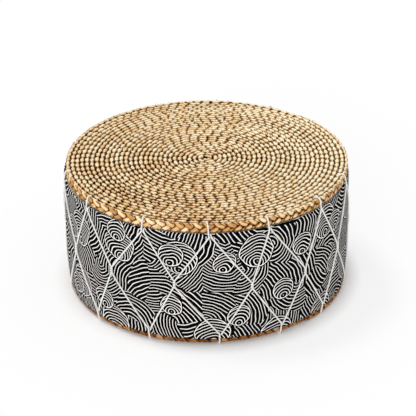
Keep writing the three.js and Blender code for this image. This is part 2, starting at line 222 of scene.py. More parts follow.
# The wadding and the pad inside the drum
WADDING_ROWS, WADDING_INNER_ROWS, WADDING_STRIDE = 34, 20, 3
WADDING_CLEARANCE = 0.5 * MM
WADDING_EDGE, WADDING_EDGE_IN = 7 * MM, 3 * MM
WADDING_INSIDE, WADDING_BEVEL = PAD_RADIUS + 1 * MM, 4 * MM
WADDING_RIPPLE, WADDING_RIPPLES, WADDING_RIPPLE_DRIFT = 0.6 * MM, 17, 60
PAD_SIDES, PAD_ROWS, PAD_RINGS = 120, 15, 16
PAD_CLEARANCE, PAD_EDGE, PAD_WOBBLE = 1 * MM, 7 * MM, 0.5 * MM
PAD_DIMPLE, PAD_DISH = 0.8 * MM, 0.2 * MM

# How deep the finest relief of each surface is
STRAW_RELIEF, CORD_RELIEF, CLOTH_RELIEF = 0.4 * MM, 0.1 * MM, 0.12 * MM
FELT_RELIEF, BOARD_RELIEF, CANE_RELIEF = 0.8 * MM, 0.2 * MM, 0.15 * MM

# The camera: metres, then degrees, then millimetres of lens and film
CAMERA_DISTANCE, CAMERA_TARGET, CAMERA_REACH = 2.999, 0.107, 50
CAMERA_ANGLES = (28.333, 0.0568, 0.3946, 0.464)
CAMERA_LENS, CAMERA_FILM = 145.5, 36

# Light, and how much of the floor's shadow the camera sees lightened, and from where to where
SUNS = (("key", 0.92, 16, (-0.4, 0.22, 1.0)), ("fill", 1.1, 40, (-0.3, -1.0, 0.4)))
SKY_LEVEL = 0.67
FLOOR_HALF = 12.0
FLOOR_GLOW = 0.72
GLOW_STARTS, GLOW_FULL = 0.98 * WALL_RADIUS, 1.12 * WALL_RADIUS


def ride(piece, look, node):
    """Joins a finished piece to the frame: gives it its material, hangs it on the root body, and hides the
    part of the model that it stands for.
    """
    piece.data.materials.append(look)
    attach(piece, "root")
    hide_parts(node)


def mesh_object(name, points, quads, caps=()):
    """A mesh from an array of points, an array of quads and a few many-sided faces."""
    mesh = bpy.data.meshes.new(name)
    sizes = np.concatenate([np.full(len(quads), 4), [len(cap) for cap in caps]]).astype(np.int32)
    corners = np.concatenate([quads.ravel(), *caps]).astype(np.int32)
    starts = np.concatenate([[0], np.cumsum(sizes)[:-1]]).astype(np.int32)
    mesh.vertices.add(len(points))
    mesh.vertices.foreach_set("co", points.astype(np.float32).ravel())
    mesh.loops.add(len(corners))
    mesh.loops.foreach_set("vertex_index", corners)
    mesh.polygons.add(len(sizes))
    mesh.polygons.foreach_set("loop_start", starts)
    mesh.update(calc_edges=True)
    mesh.shade_smooth()
    piece = bpy.data.objects.new(name, mesh)
    bpy.context.scene.collection.objects.link(piece)
    return piece


def mesh_points(mesh):
    """The points of a mesh as an array."""
    points = np.zeros(len(mesh.vertices) * 3, np.float32)
    mesh.vertices.foreach_get("co", points)
    return points.reshape(-1, 3).astype(float)


def give_vectors(piece, name, vectors):
    """Stores a vector for each point of a piece, for its material to read."""
    attribute = piece.data.attributes.new(name, "FLOAT_VECTOR", "POINT")
    attribute.data.foreach_set("vector", vectors.astype(np.float32).ravel())


def give_map(piece, corners):
    """Stores a texture map: a place for each corner of each face, in their order."""
    layer = piece.data.uv_layers.new(name="OFBake")
    layer.uv.foreach_set("vector", np.concatenate(corners).astype(np.float32).ravel())


def smooth_noise(places, spacing, seed):
    """Smooth random values from -1 to 1 at places along a line."""
    knots = np.random.default_rng(seed).uniform(-1, 1, int(places.max() / spacing) + 3)
    at = places / spacing
    low = np.floor(at).astype(int)
    share = (1 - np.cos(math.pi * (at - low))) / 2
    return knots[low] * (1 - share) + knots[low + 1] * share


def rim_noise(angle, seed, slowest=2, fastest=9):
    """Smooth random values round a closed rim, from waves that fit it a whole number of times."""
    draws = np.random.default_rng(seed)
    total = 0 * angle
    for waves in range(slowest, fastest + 1):
        total = total + draws.uniform(0.3, 1) * np.sin(waves * angle + draws.uniform(0, FULL_TURN))
    return total / math.sqrt(fastest - slowest + 1)


def eased(value, low, high):
    """A value brought from one range to 0 to 1, with soft ends."""
    share = np.clip((value - low) / (high - low), 0, 1)
    return share * share * (3 - 2 * share)


def unit(vectors):
    """Vectors brought to length 1."""
    return vectors / np.linalg.norm(vectors, axis=-1, keepdims=True)


def round_points(angle, radius, height):
    """Points at angles, radii and heights."""
    return np.stack([radius * np.cos(angle), radius * np.sin(angle), 0 * angle + height], -1)


def tube_quads(rings, sides):
    """Quads and two end caps of a tube of rings, each of that many points."""
    ring = np.arange(rings - 1)[:, None] * sides
    side = np.arange(sides)[None, :]
    following = (side + 1) % sides
    quads = np.stack([ring + side, ring + following, ring + sides + following, ring + sides + side], -1)
    first = np.arange(sides)[::-1]
    last = (rings - 1) * sides + np.arange(sides)
    return quads.reshape(-1, 4), [first, last]


def give_strip_map(piece, rings, sides, rows, tubes=1):
    """A texture map for long tubes: their length is cut into rows, laid one above the other."""
    per_row = math.ceil((rings - 1) / rows)
    ring = np.arange(rings - 1)[:, None]
    side = np.arange(sides)[None, :]
    start = (ring % per_row) / per_row + 0 * side
    end = start + 1 / per_row
    every_row = rows * tubes
    corners = []
    for tube in range(tubes):
        row = ring // per_row + tube * rows
        low, high = ((row + STRIP_MARGIN + STRIP_FILL * (side + k) / sides) / every_row for k in (0, 1))
        corners.append(np.stack([start, low, start, high, end, high, end, low], -1).reshape(-1, 2))
    caps = np.tile([[0.5, 0.5 / every_row]], (2 * sides * tubes, 1))
    give_map(piece, [*corners, caps])


def cord_tree(lines):
    """The cords' points, to be searched for the nearest one."""
    points = np.concatenate(lines)
    tree = KDTree(len(points))
    for i, point in enumerate(points):
        tree.insert(point, i)
    tree.balance()
    return tree


def press_aside(points, tree):
    """Moves the straw that a cord would pass through to the cord's surface."""
    flat = points.reshape(-1, 3)
    reach = CORD_RADIUS + STRAW_CLEARANCE
    near_rim = np.nonzero(np.hypot(flat[:, 0], flat[:, 1]) > STITCH_RADIUS - 4 * CORD_RADIUS)[0]
    for i in near_rim:
        place = Vector(flat[i])
        nearest, _, distance = tree.find(place)
        if 0 < distance < reach:
            flat[i] = nearest + (place - nearest) * (reach / distance)


def plait_strand(name, strand, bottom, face_up, lift, seed, cords):
    """One strand of the plait, wound with the other two into a flat mat."""
    outer_centre = MAT_RADIUS - ROW_PITCH / 2
    turns = (outer_centre - HEART_RADIUS) / ROW_PITCH + TAIL_TURNS
    length = FULL_TURN * (HEART_RADIUS * turns + ROW_PITCH * turns**2 / 2)
    rings = int(length / BRAID_REPEAT * STEPS_PER_REPEAT)
    s = np.linspace(0, length, rings)
    turn = (np.sqrt(HEART_RADIUS**2 + ROW_PITCH * s / math.pi) - HEART_RADIUS) / ROW_PITCH
    angle = math.radians(TAIL_ANGLE) + (turn - turns) * FULL_TURN
    inner = HEART_RADIUS + ROW_PITCH * (turn - 0.5)
    outer = np.minimum(inner + ROW_PITCH, MAT_RADIUS)
    squeeze = (outer - inner) / ROW_PITCH
    centre = (inner + outer) / 2

    wander = QUICK_WANDER * smooth_noise(s, 1.5 * BRAID_REPEAT, round(bottom / MM) + 1)
    wander = wander + SLOW_WANDER * smooth_noise(s, 8 * BRAID_REPEAT, round(bottom / MM) + 2)
    phase = FULL_TURN * (s / BRAID_REPEAT + strand / STRANDS) + wander
    raised, shifted, widened, deepened = (
        smooth_noise(s, BRAID_REPEAT / 3, seed + k) for k in range(4)
    )
    on_face = np.abs(np.cos(phase)) ** 3
    on_rim = eased(turn, turns - RIM_STARTS, turns - RIM_FULL)
    face_width = HIDDEN_FACE_WIDTH + (RIM_FACE_WIDTH - HIDDEN_FACE_WIDTH) * on_rim
    width = EDGE_WIDTH + (face_width - EDGE_WIDTH) * on_face
    width = width - HIDDEN_PINCH * (1 - on_rim) * np.sin(2 * phase) ** 2
    width = width * (1 + WIDTH_JITTER * widened)
    depth = EDGE_THICKNESS + (FACE_THICKNESS - EDGE_THICKNESS) * on_face
    depth = depth * (1 + DEPTH_JITTER * deepened)
    amplitude = (PLAIT_HEIGHT - EDGE_THICKNESS) / 2
    height = amplitude * np.sin(phase) * (1.2 - 0.2 * np.sin(phase) ** 2) + HEIGHT_JITTER * raised
    across = -STRAND_WEAVE * np.sin(2 * phase) * (1 - EDGE_STRAIGHTNESS * np.sin(phase) ** 4)
    across = across * squeeze + ACROSS_JITTER * shifted
    radius = centre + across + ROW_WAVE * np.sin(ROW_WAVES * angle + ROW_WAVE_DRIFT * turn)
    lifted = lift * np.clip((centre - (STITCH_RADIUS - 2 * ROW_PITCH)) / ROW_PITCH, 0, 1)
    middle = bottom + PLAIT_HEIGHT / 2 + lifted
    angle = face_up * angle
    radial = np.stack([np.cos(angle), np.sin(angle), 0 * angle], -1)
    path = radial * radius[:, None]
    path[:, 2] = middle + face_up * height

    # A strand lies flat against the row's sides, and turns over from one side to the other
    forward = unit(np.gradient(path, axis=0))
    tilt = math.pi / 2 * (1 + np.sin(math.pi / 2 * np.clip(1.5 * np.cos(phase), -1, 1)))
    upward = np.array([0, 0, face_up])
    outward = radial * np.cos(tilt)[:, None] + upward * np.sin(tilt)[:, None]
    outward = unit(outward - forward * (outward * forward).sum(-1, keepdims=True))
    sideways = np.cross(forward, outward)

    around = np.arange(SECTION_POINTS) / SECTION_POINTS * FULL_TURN
    flat = np.sign(np.cos(around)) * np.abs(np.cos(around)) ** SECTION_FULLNESS
    thick = np.sign(np.sin(around)) * np.abs(np.sin(around)) ** SECTION_FULLNESS
    ends = np.clip(np.minimum(s, length - s) / END_TAPER, END_SHARE, 1) / 2
    half_width = width * squeeze * ends
    half_depth = depth * (0.4 + 0.6 * squeeze) * ends
    points = (
        path[:, None]
        + sideways[:, None] * half_width[:, None, None] * flat[None, :, None]
        + outward[:, None] * half_depth[:, None, None] * thick[None, :, None]
    )
    half = PLAIT_HEIGHT / 2
    beyond_middle = np.clip(face_up * (points[..., 2] - middle[:, None]), -half, half)
    points[..., 2] = middle[:, None] + face_up * beyond_middle
    from_centre = (np.linalg.norm(points[..., :2], axis=-1) - centre[:, None]) / squeeze[:, None]
    press_aside(points, cords)

    quads, caps = tube_quads(rings, SECTION_POINTS)
    piece = mesh_object(name, points.reshape(-1, 3), quads, caps)
    rim = on_rim[:, None] * eased(from_centre, *RIM_ASIDE)
    from_face = half - beyond_middle
    aside = np.abs(from_centre)
    # Painted shade: the notches and the gaps between rows, except on the rim's face, and the crevice
    # inside the rim are darkened in colour
    dip = half - np.abs(height) - depth / 2
    notch_aside = NOTCH_LEAST + (1 - NOTCH_LEAST) * eased(aside, *NOTCH_ASIDE)
    notch = eased(dip, *NOTCH_DIP)[:, None] * notch_aside
    between_rows = ROW_GAP_MOST * eased(from_face, *ROW_GAP_DEPTH) * eased(aside, *ROW_GAP_ASIDE)
    inside_rim = 1 - eased(from_centre, *CREVICE_ASIDE)
    crevice = on_rim[:, None] * eased(from_face, *CREVICE_DEPTH) * inside_rim
    painted_shade = np.maximum(np.maximum(notch, between_rows) * (1 - rim), crevice)
    # Paler near the mat's outer face: partly wear, partly a painted highlight on the tops of the grains
    paling = 1 - eased(from_face, *FACE_WEAR_AND_HIGHLIGHT_DEPTH)
    give_vectors(piece, "place", np.stack([painted_shade, rim, paling], -1).reshape(-1, 3))
    tone = smooth_noise(s, BRAID_REPEAT / 2, seed + 9)
    ones = np.ones(SECTION_POINTS)
    strand_place = [np.outer(s, ones), np.outer(np.ones(rings), np.cos(around)), np.outer(tone, ones)]
    give_vectors(piece, "strand", np.stack(strand_place, -1).reshape(-1, 3))
    give_strip_map(piece, rings, SECTION_POINTS, PLAIT_MAP_ROWS)
    return piece


def make_mats(cords):
    """Both mats: each is three strands, pale in the seat and browner in the base."""
    looks = {
        "seat": straw("bleached_straw", SEAT_COLOURS),
        "base": straw("brown_straw", BASE_COLOURS),
    }
    for strand in range(STRANDS):
        for mat, bottom, face_up, lift, seed in MATS:
            name = f"{mat}_plait_strand_{strand + 1}"
            strand_seed = seed + STRAND_SEEDS * strand
            piece = plait_strand(name, strand, bottom, face_up, lift, strand_seed, cords)
            ride(piece, looks[mat], f"{mat}_mat")


def wall_radius_at(height):
    """The outer radius of the cloth wall: straight, and drawn in a little at both ends."""
    from_edge = np.minimum(WALL_TOP - height, height - HEM_HEIGHT)
    share = np.clip(1 - from_edge / DRAW_HEIGHT, 0, 1)
    return WALL_RADIUS - DRAW_IN * share**2


def polar(angle, along, radius, height):
    """A point at an angle in degrees, moved along the rim by a distance."""
    turn = math.radians(angle) + along / radius
    return np.array([radius * math.cos(turn), radius * math.sin(turn), height])


def stitch_points(angle, up, lean):
    """One stitch, from the strand that arrives along the wall to the strand that leaves it: over
    the rim, through the mat, and out again under the mat. Up is -1 on the base mat."""
    face, back, split = SEAT_TOP, SEAT_BOTTOM, SEAT_BOTTOM - SEAT_SPLIT_DROP
    if up < 0:
        face, back, split = RIM_LIFT, BASE_TOP, BASE_TOP + BASE_SPLIT_RISE
    wall = wall_radius_at(split) + CORD_SEAT
    rim = MAT_RADIUS + CORD_RADIUS - CORD_BITE
    over = face + up * (CORD_RADIUS - CORD_BITE)
    under = back - up * (CORD_RADIUS + STITCH_CLEARANCE)
    half = CORD_SPACING / 2
    return [
        polar(angle, lean - half, wall, split),
        polar(angle, lean * 0.8 - half, wall, back - up * CORD_RADIUS),
        polar(angle, lean * 0.5 - half, rim, face - up * 3 * CORD_RADIUS),
        polar(angle, lean * 0.4 - half, rim - 0.8 * CORD_RADIUS, face - up * CORD_RADIUS),
        polar(angle, lean * 0.2 - half, rim - 3 * CORD_RADIUS, over),
        polar(angle, -half, STITCH_RADIUS + CORD_RADIUS, over - up * 0.5 * CORD_BITE),
        polar(angle, -half, STITCH_RADIUS, face - up * 2 * CORD_RADIUS),
        polar(angle, half, STITCH_RADIUS, under),
        polar(angle, half, STITCH_RADIUS + 2 * CORD_RADIUS, under),
        polar(angle, lean + half, wall, under - up * STITCH_DROP),
        polar(angle, lean + half, wall, split),
    ]


def wall_line(start, end):
    """Points over the wall between two (angle, height) places."""
    count = 2 + int(abs(end[1] - start[1]) / WALL_LINE_STEP)
    angles = np.linspace(start[0], end[0], count)
    heights = np.linspace(start[1], end[1], count)
    return [polar(a, 0, wall_radius_at(z) + CORD_SEAT, z) for a, z in zip(angles, heights)]


def twist_points(angle, middle, down):
    """A strand's way through a crossing, where the two cords turn round each other."""
    points = []
    for share in np.linspace(0, 1, TWIST_STEPS * TWIST_HALF_TURNS + 1):
        turn = math.pi * TWIST_HALF_TURNS * share + (math.pi if down else 0)
        radius = WALL_RADIUS + CORD_SEAT + TWIST_LIFT + TWIST_REACH * math.sin(turn)
        height = middle + TWIST_HEIGHT * (0.5 - share)
        points.append(polar(angle, TWIST_REACH * math.cos(turn), radius, height))
    return points if down else points[::-1]


def cord_route(first):
    """One cord all the way round: a seat stitch, down to the next base stitch, up again, and so on."""
    count = len(SEAT_STITCHES)

    def turned(angles, place):
        return angles[place % count] + 360 * (place // count)

    def stitch(place):
        up = 1 if (place - first) % 2 == 0 else -1
        lean = SEAT_LEANS[place % count] * MM if up > 0 else 0
        return turned(SEAT_STITCHES if up > 0 else BASE_STITCHES, place), up, lean

    def place_of(point, near):
        angle = math.degrees(math.atan2(point[1], point[0]))
        return angle + 360 * round((near - angle) / 360), point[2]

    points = []
    for place in range(first, first + count):
        angle, up, _ = stitch(place)
        next_angle = stitch(place + 1)[0]
        here, there = (stitch_points(*stitch(p)) for p in (place, place + 1))
        points += here[UNDER_MAT:] if place == first else here
        start, end = place_of(here[-1], angle), place_of(there[0], next_angle)
        near = [turned(angles, p) for angles in (SEAT_STITCHES, BASE_STITCHES) for p in (place, place + 1)]
        aside, raised = CROSSING_SHIFTS.get(place % count, (0, 0))
        crossing = sum(near) / len(near) + aside
        twist = twist_points(crossing, CROSSING_HEIGHT + raised, up > 0)
        points += wall_line(start, place_of(twist[0], crossing))[1:-1]
        points += twist
        points += wall_line(place_of(twist[-1], crossing), end)[1:-1]
    points += stitch_points(*stitch(first + count))[:UNDER_MAT]
    return np.array(points)


def even_steps(points, step, smoothing):
    """A line through points, its corners rounded, in steps of one length."""
    lengths = np.concatenate([[0], np.cumsum(np.linalg.norm(np.diff(points, axis=0), axis=1))])
    places = np.linspace(0, lengths[-1], int(lengths[-1] / step) + 1)
    line = np.stack([np.interp(places, lengths, points[:, axis]) for axis in range(3)], -1)
    kernel = np.ones(smoothing) / smoothing
    for _ in range(2):
        wide = np.pad(line, ((smoothing // 2, smoothing // 2), (0, 0)), mode="edge")
        line = np.stack([np.convolve(wide[:, axis], kernel, "valid") for axis in range(3)], -1)
    return line


def carried_frames(line):
    """Two directions square to a line at each of its points, carried along it without twist."""
    forward = unit(np.gradient(line, axis=0))
    side = np.zeros_like(line)
    any_way = [0.3, 0.5, 0.8]
    here = np.cross(forward[0], any_way)
    for i, way in enumerate(forward):
        here = here - way * here.dot(way)
        here = here / math.sqrt(here.dot(here))
        side[i] = here
    return side, np.cross(forward, side)


def make_cord(name, node, line, look):
    """A cotton cord of three plies laid round each other."""
    side, other = carried_frames(line)
    along = np.arange(len(line)) * CORD_STEP
    around = np.arange(PLY_SIDES) / PLY_SIDES * FULL_TURN
    all_points, all_quads, all_caps, places = [], [], [], []
    quads, caps = tube_quads(len(line), PLY_SIDES)
    for ply in range(PLY_COUNT):
        lay = FULL_TURN * (along / PLY_PITCH + ply / PLY_COUNT)
        out = side * np.cos(lay)[:, None] + other * np.sin(lay)[:, None]
        past = other * np.cos(lay)[:, None] - side * np.sin(lay)[:, None]
        centre = line + out * (CORD_RADIUS - PLY_RADIUS)
        ring = (
            centre[:, None]
            + out[:, None] * PLY_RADIUS * np.cos(around)[None, :, None]
            + past[:, None] * PLY_RADIUS * np.sin(around)[None, :, None]
        )
        start = ply * len(line) * PLY_SIDES
        all_points.append(ring.reshape(-1, 3))
        all_quads.append(quads + start)
        all_caps += [cap + start for cap in caps]
        outward = np.broadcast_to(np.cos(around), (len(line), PLY_SIDES))
        far = np.broadcast_to(along[:, None], outward.shape)
        which = np.full(outward.shape, ply / PLY_COUNT)
        places.append(np.stack([far, outward, which], -1).reshape(-1, 3))
    piece = mesh_object(name, np.concatenate(all_points), np.concatenate(all_quads), all_caps)
    give_vectors(piece, "ply", np.concatenate(places))
    give_strip_map(piece, len(line), PLY_SIDES, CORD_MAP_ROWS, PLY_COUNT)
    ride(piece, look, node)


def make_lacing():
    """Both cords. Gives the lines that they follow."""
    look = cotton()
    lines = [even_steps(cord_route(first), CORD_STEP, CORD_SMOOTHING) for first in (0, 1)]
    for which, line in zip(("first", "second"), lines):
        make_cord(f"{which}_cotton_cord", f"{which}_lacing_cord", line, look)
    return lines


def cover_grid(lines):
    """The angle and height of each point of the cover, its distance from the nearest cord along the
    wall, and how near to the middle of the stool that cord comes."""
    turn = FULL_TURN + SEAM_OVERLAP / WALL_RADIUS
    angle = math.radians(SEAM_ANGLE) + np.linspace(0, turn, COVER_COLUMNS)[None, :]
    bottom = HEM_MIDDLE + HEM_TILT * np.cos(angle + math.radians(HEM_TILT_ANGLE))
    bottom = bottom + HEM_WAVER * rim_noise(angle, seed=5, slowest=5, fastest=14)
    share = np.linspace(0, 1, COVER_ROWS)[:, None]
    height = bottom + (WALL_TOP - bottom) * share
    angle = angle + 0 * height

    # Each point of a cord lies there three times, a turn apart, to be found across 180 degrees too
    unrolled = []
    for point in np.concatenate(lines):
        radius = math.hypot(point[0], point[1])
        on_wall = HEM_HEIGHT - CORD_BELOW_HEM < point[2] < WALL_TOP
        if radius > WALL_RADIUS - CORD_OFF_WALL and on_wall:
            turned = math.atan2(point[1], point[0])
            for lap in (-1, 0, 1):
                unrolled.append(((turned + lap * FULL_TURN) * WALL_RADIUS, point[2], radius))
    tree = KDTree(len(unrolled))
    for k, (across, up, _) in enumerate(unrolled):
        tree.insert((across, up, 0), k)
    tree.balance()
    wrapped = (angle + math.pi) % FULL_TURN - math.pi
    near = np.zeros(angle.shape)
    seat = np.zeros(angle.shape)
    for i in np.ndindex(angle.shape):
        found = tree.find_n((wrapped[i] * WALL_RADIUS, height[i], 0), NEAREST_POINTS)
        near[i] = found[0][2]
        seat[i] = min(unrolled[k][2] for _, k, _ in found)
    return angle, height, near, seat


def swell(points, quads, pinned):
    """The cloth blown out between its pinned points by the padding behind it."""
    piece = mesh_object("cover_in_the_making", points, quads)
    group = piece.vertex_groups.new(name="held")
    group.add([int(i) for i in np.nonzero(pinned)[0]], 1.0, "REPLACE")
    cloth = piece.modifiers.new("cloth", "CLOTH")
    for key, value in CLOTH_SETTINGS.items():
        setattr(cloth.settings, key, value)
    cloth.settings.vertex_group_mass = group.name
    cloth.settings.effector_weights.gravity = 0
    cloth.point_cache.frame_start = 1
    cloth.point_cache.frame_end = CLOTH_STEPS
    scene = bpy.context.scene
    for step in range(1, CLOTH_STEPS + 1):
        scene.frame_set(step)
    shaped = piece.evaluated_get(bpy.context.evaluated_depsgraph_get())
    blown = mesh_points(shaped.data)
    scene.frame_set(1)
    bpy.data.objects.remove(piece)
    return blown


def pucker(angle, depth, folds, drift, seed):
    """Small folds side by side round the wall, unevenly spaced."""
    return depth * np.sin(angle * folds + drift * rim_noise(angle, seed))


def grid_quads(rows, columns, start=0, inward=False):
    """Quads of an open grid of points."""
    low = start + np.arange(rows - 1)[:, None] * columns + np.arange(columns - 1)[None, :]
    corners = [low, low + 1, low + columns + 1, low + columns]
    if inward:
        corners = corners[::-1]
    return np.stack(corners, -1).reshape(-1, 4)


def rim_quads(rows, columns):
    """Quads that join the edges of two like grids, the outer one first."""
    index = np.arange(rows * columns).reshape(rows, columns)
    loop = np.concatenate([index[0], index[1:, -1], index[-1, -2::-1], index[-2:0:-1, 0]])
    following = np.roll(loop, -1)
    inner = rows * columns
    return np.stack([loop, loop + inner, following + inner, following], -1)


def make_cover(lines):
    """The cover: pressed in under the cords, blown out between them and puckered at both ends.
    Gives the angles, heights and radii of its inside."""
    angle, height, near, seat = cover_grid(lines)
    rows, columns = angle.shape
    from_hem = height - height[0]
    wall = wall_radius_at(height) - CLOTH_CLEARANCE
    pressed = np.minimum(wall, seat - CORD_RADIUS - CLOTH_CLEARANCE)
    touch = 1 - eased(near, *PRESSED_WITHIN)
    radius = wall + (pressed - wall) * touch
    along = np.arange(columns)[None, :] / (columns - 1) * (WALL_ROUND + SEAM_OVERLAP)
    radius = radius + SEAM_STEP * eased(along, WALL_ROUND - SEAM_RAMP, WALL_ROUND)
    shaped = round_points(angle, radius, height).reshape(-1, 3)
    held = near < HELD_WITHIN
    held[:HELD_ROWS] = held[-HELD_ROWS:] = True
    held[:, :HELD_COLUMNS] = held[:, -HELD_COLUMNS:] = True
    shaped = swell(shaped, grid_quads(rows, columns), held.ravel())
    blown = np.linalg.norm(shaped[:, :2], axis=1).reshape(rows, columns)
    room = PILLOW * eased(near, HELD_WITHIN, SWOLLEN_BEYOND) * eased(from_hem, 0, HEM_HOLD)
    radius = np.clip(blown, radius - CLOTH_SINK, radius + room)

    low_folds = pucker(angle, *LOW_PUCKER) * (1 - eased(from_hem, 0, LOW_PUCKER_HEIGHT))
    top_folds = pucker(angle, *TOP_PUCKER) * eased(height, WALL_TOP - TOP_PUCKER_HEIGHT, WALL_TOP)
    radius = radius + (low_folds + top_folds) * eased(near, *PUCKER_FREE)
    hem = 1 + HEM_EXTRA * (1 - eased(from_hem, *HEM_FOLD))
    inner_radius = radius - CLOTH_THICKNESS * hem
    outer, inner = (round_points(angle, r, height).reshape(-1, 3) for r in (radius, inner_radius))
    quads = np.concatenate([
        grid_quads(rows, columns),
        grid_quads(rows, columns, rows * columns, inward=True),
        rim_quads(rows, columns),
    ])
    piece = mesh_object("printed_cover", np.concatenate([outer, inner]), quads)
    print_place = np.stack([along + 0 * height, height, hem], -1).reshape(-1, 3)
    give_vectors(piece, "print", np.tile(print_place, (2, 1)))
    give_cover_map(piece, rows, columns)
    ride(piece, printed_cotton(), "side_cover")
    return angle, height, inner_radius


def give_cover_map(piece, rows, columns):
    """A texture map of the cover: its outside in a few long bands, its inside and edges in thin ones."""
    per_band = math.ceil((columns - 1) / COVER_MAP_ROWS)
    column = np.arange(columns - 1)[None, :] + 0 * np.arange(rows - 1)[:, None]
    row = np.arange(rows - 1)[:, None] + 0 * column
    band = column // per_band
    left = (column % per_band) / per_band
    right = left + 1 / per_band
    low, high = (
        (band + BAND_MARGIN + BAND_FILL * (row + k) / (rows - 1)) * BAND_HEIGHT for k in (0, 1)
    )
    outer = np.stack([left, low, right, low, right, high, left, high], -1).reshape(-1, 2)
    start, end = column / (columns - 1), (column + 1) / (columns - 1)
    down, up = (INNER_BAND + INNER_HEIGHT * (row + k) / (rows - 1) for k in (0, 1))
    inner = np.stack([start, up, end, up, end, down, start, down], -1).reshape(-1, 2)
    loop = 2 * (rows + columns) - 4
    at = np.arange(loop) / loop
    after = at + 1 / loop
    below, above = (np.full(loop, level) for level in EDGE_BAND)
    edge = np.stack([at, below, at, above, after, above, after, below], -1).reshape(-1, 2)
    give_map(piece, [outer, inner, edge])


def make_wadding(angle, height, inner_radius):
    """Felted cotton behind the cover, swelling with it between the cords."""
    keep = slice(0, COVER_COLUMNS - SEAM_COLUMNS, WADDING_STRIDE)
    height, radius = height[:, keep], inner_radius[:, keep]
    columns = radius.shape[1]
    around = np.linspace(0, FULL_TURN, columns, endpoint=False) + angle[0, 0]
    heights = np.linspace(WADDING_BOTTOM, WADDING_TOP, WADDING_ROWS)
    outer = np.zeros((len(heights), columns))
    for k in range(columns):
        outer[:, k] = np.interp(heights, height[:, k], radius[:, k]) - WADDING_CLEARANCE
    edge = np.minimum(heights - WADDING_BOTTOM, WADDING_TOP - heights)[:, None]
    outer = outer - WADDING_EDGE_IN * (1 - eased(edge, 0, WADDING_EDGE))
    end = np.full(columns, WADDING_INSIDE + WADDING_BEVEL)
    rings = [(end, WADDING_BOTTOM), *zip(outer, heights), (end, WADDING_TOP)]
    top, bottom = WADDING_TOP - WADDING_BEVEL, WADDING_BOTTOM + WADDING_BEVEL
    for z in np.linspace(top, bottom, WADDING_INNER_ROWS):
        ripple = WADDING_RIPPLE * np.sin(WADDING_RIPPLES * around + WADDING_RIPPLE_DRIFT * z)
        rings.append((WADDING_INSIDE + ripple, z))
    piece = closed_rings("wall_wadding", rings, around, looped=True)
    look = felt("felted_wadding", colour(226, 216, 196), colour(196, 182, 158), 90)
    ride(piece, look, "side_wadding")


def make_pad():
    """The pad under the seat mat: pressed fibre with soft edges and slightly uneven faces."""
    around = np.linspace(0, FULL_TURN, PAD_SIDES, endpoint=False)
    middle, half = (PAD_TOP + PAD_BOTTOM) / 2, (PAD_TOP - PAD_BOTTOM) / 2
    wobble = PAD_WOBBLE * rim_noise(around, seed=31, slowest=3, fastest=20)
    rings = []
    for share in np.linspace(-1, 1, PAD_ROWS):
        bulge = math.sqrt(1 - abs(share) ** 3)
        radius = PAD_RADIUS - PAD_EDGE * (1 - bulge) - PAD_CLEARANCE + wobble * (0.4 + 0.6 * bulge)
        rings.append((radius, middle + share * half))
    low_edge, top_edge = rings[0][0], rings[-1][0]
    inward = np.linspace(0.96, 0.03, PAD_RINGS)
    dimple = PAD_DIMPLE * np.sin(np.linspace(0, 14, PAD_RINGS)) ** 2
    top, bottom = [], []
    for share, dip in zip(inward, dimple):
        top.append((top_edge * share, PAD_TOP - PAD_DISH * (1 - share) - dip))
        bottom.insert(0, (low_edge * share, PAD_BOTTOM + dip))
    piece = closed_rings("coir_pad", [*bottom, *rings, *top], around, looped=False)
    look = felt("pressed_coir", colour(150, 110, 72), colour(92, 62, 38), 160)
    ride(piece, look, "seat_pad")


def closed_rings(name, rings, around, looped):
    """A closed body through level rings: joined end to end, or with a lid on each end."""
    points = [round_points(around, radius, z) for radius, z in rings]
    columns = len(around)
    quads, caps = tube_quads(len(rings), columns)
    if looped:
        first, last = np.arange(columns), (len(rings) - 1) * columns + np.arange(columns)
        closing = np.stack([last, np.roll(last, -1), np.roll(first, -1), first], -1)
        quads, caps = np.concatenate([quads, closing]), []
    return mesh_object(name, np.concatenate(points), quads, caps)


def dress_frame():
    """Wood and cane on the parts of the frame that come straight from the model."""
    board, cane = plain_board(), split_cane()
    for name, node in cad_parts.items():
        if name.endswith("_deck"):
            node.material_slots[0].material = board
        elif name.startswith("cane_post") or name.endswith("_hoop"):
            node.material_slots[0].material = cane


